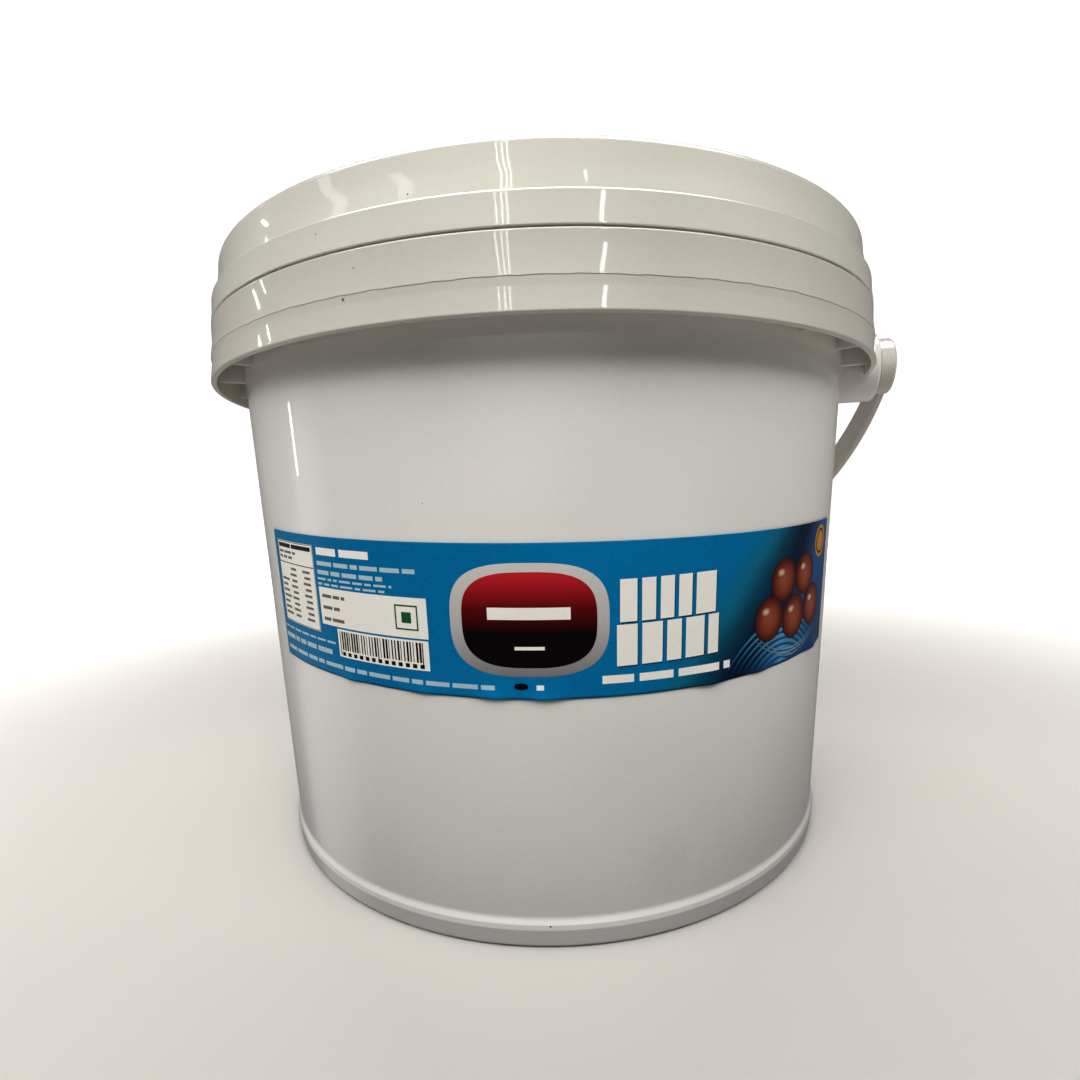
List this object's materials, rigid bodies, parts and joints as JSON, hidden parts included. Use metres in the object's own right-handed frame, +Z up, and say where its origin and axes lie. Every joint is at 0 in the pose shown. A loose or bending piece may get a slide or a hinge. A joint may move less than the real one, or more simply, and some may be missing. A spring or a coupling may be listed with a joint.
{
  "type": "plastic food pail with lid",
  "caption": "Round white plastic food pail, full and shut, with a snap lid, a wrap label and a strap bail handle that swings over the lid.",
  "frame": {"origin": "centre of the flat underside, which is also the bottom centre of the bounding box", "axes": "+Z up; +X along the bail's hinge axis, through both ears; the bail hangs at the back, +Y; the label is wrapped round the front, -Y, a little towards +X"},
  "size_m": [0.3206, 0.2996, 0.2419],
  "materials": {
    "pail_plastic": "moulded polypropylene, warm white, glossy",
    "lid_plastic": "moulded polypropylene, warm white, glossy",
    "printed_film": "printed self-adhesive film, satin",
    "handle_plastic": "moulded polypropylene strap, warm white"
  },
  "bodies": {
    "pail": {"pail": "pail_plastic", "lid": "lid_plastic", "label": "printed_film"},
    "handle": {"bail": "handle_plastic"}
  },
  "joints": [
    {"name": "bail_swing", "type": "hinge", "parent": "pail", "child": "handle", "pos_m": [0, 0, 0.2], "axis": [1, 0, 0], "range_deg": [0, 258]}
  ]
}
